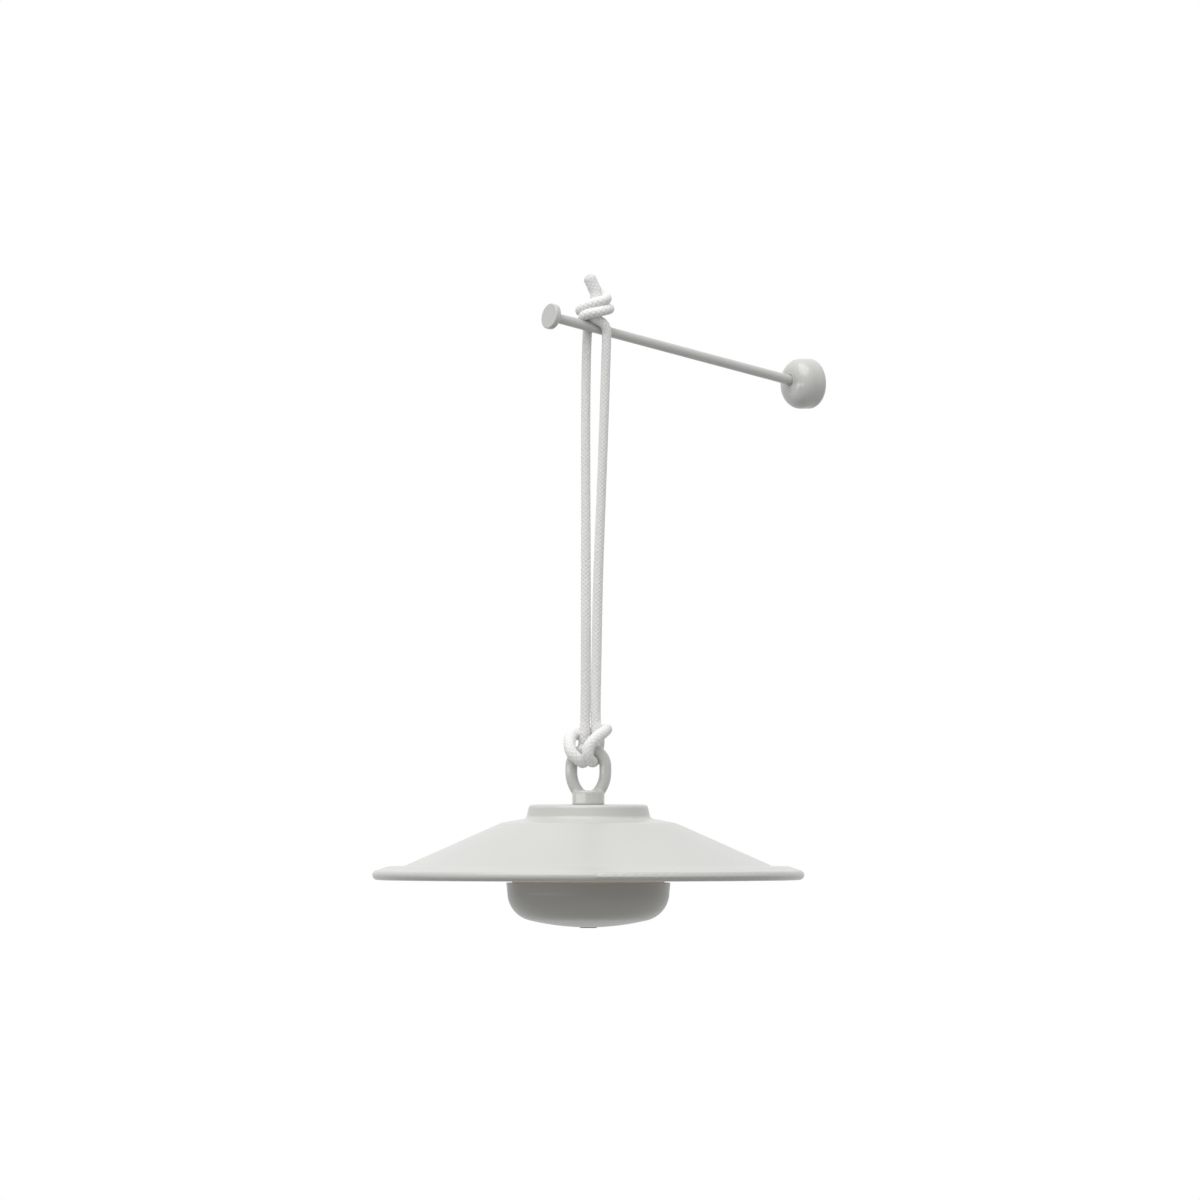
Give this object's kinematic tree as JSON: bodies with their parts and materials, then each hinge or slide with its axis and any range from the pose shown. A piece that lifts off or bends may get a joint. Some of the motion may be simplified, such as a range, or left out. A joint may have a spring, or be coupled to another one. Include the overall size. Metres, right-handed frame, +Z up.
{
  "type": "rechargeable outdoor pendant lamp",
  "caption": "Hat-shaped pendant lamp with a round light unit under its brim, hung by a knotted rope from a slanting wall arm; push button below and a charging port behind a flap.",
  "frame": {"origin": "centre of the wall base's back face, which lies against the wall", "axes": "+Y into the wall, +Z up; the arm reaches out along -Y and rises, and the lamp hangs below it"},
  "size_m": [0.3, 0.3433, 0.4547],
  "materials": {
    "arm_paint": "satin light warm grey coat",
    "shade_paint": "satin light warm grey coat on spun aluminium",
    "bowl_plastic": "satin light warm grey, moulded",
    "rope": "braided cord, off-white",
    "steel": "zinc plated",
    "bare_aluminium": "turned",
    "seal_rubber": "matt",
    "button_rubber": "matt, mid grey",
    "flap_rubber": "matt, light warm grey",
    "opal": "opal, lit from behind",
    "board": "solder mask",
    "led": "phosphor yellow",
    "black_plastic": "moulded",
    "battery_foil": "laminated foil",
    "foam": "closed cell foam",
    "wire": "insulated wire"
  },
  "bodies": {
    "wall_arm": {"wall_base": "arm_paint", "arm_rod": "arm_paint", "end_stop": "arm_paint", "grub_screw": "steel"},
    "rope_top": {"rope_knot": "rope"},
    "rope_fall": {"front_fall": "rope", "back_fall": "rope", "rope_hitch": "rope"},
    "lamp": {"hanging_eye": "arm_paint", "crown_seal": "seal_rubber", "crown_washer": "steel", "shade": "shade_paint", "pillar": "bare_aluminium", "pillar_screws": "steel", "light_deck": "bare_aluminium", "deck_seal": "seal_rubber", "deck_screws": "steel", "led_board": "board", "leds": "led", "diffuser": "opal", "puck_bowl": "bowl_plastic", "main_board": "board", "battery_tray": "black_plastic", "board_screws": "steel", "battery_pack": "battery_foil", "battery_pad": "foam", "switch_body": "black_plastic", "usb_board": "board", "usb_socket": "steel", "led_leads": "wire", "battery_leads": "wire", "usb_leads": "wire"},
    "power_button": {"power_button": "button_rubber", "switch_plunger": "black_plastic"},
    "port_flap": {"port_flap": "flap_rubber"}
  },
  "joints": [
    {"name": "rope_slide", "type": "slide", "parent": "wall_arm", "child": "rope_top", "axis": [0, -0.9773, 0.212], "range_m": [-0.02, 0.016]},
    {"name": "rope_swing", "type": "hinge", "parent": "rope_top", "child": "rope_fall", "pos_m": [0, -0.1933, 0.03982], "axis": [0, -0.9773, 0.212], "range_deg": [-15, 15]},
    {"name": "lamp_rock", "type": "hinge", "parent": "rope_fall", "child": "lamp", "pos_m": [0, -0.1933, -0.2539], "axis": [0.5793, 0.8151, 0], "range_deg": [-15, 15]},
    {"name": "button_press", "type": "slide", "parent": "lamp", "child": "power_button", "axis": [0, 0, 1], "range_m": [0, 0.0008], "stiffness_N_per_m": 800, "springref_m": -0.002},
    {"name": "flap_open", "type": "hinge", "parent": "lamp", "child": "port_flap", "pos_m": [-0.04464, -0.16158, -0.36115], "axis": [-0.5793, -0.8151, 0], "range_deg": [0, 110]}
  ]
}
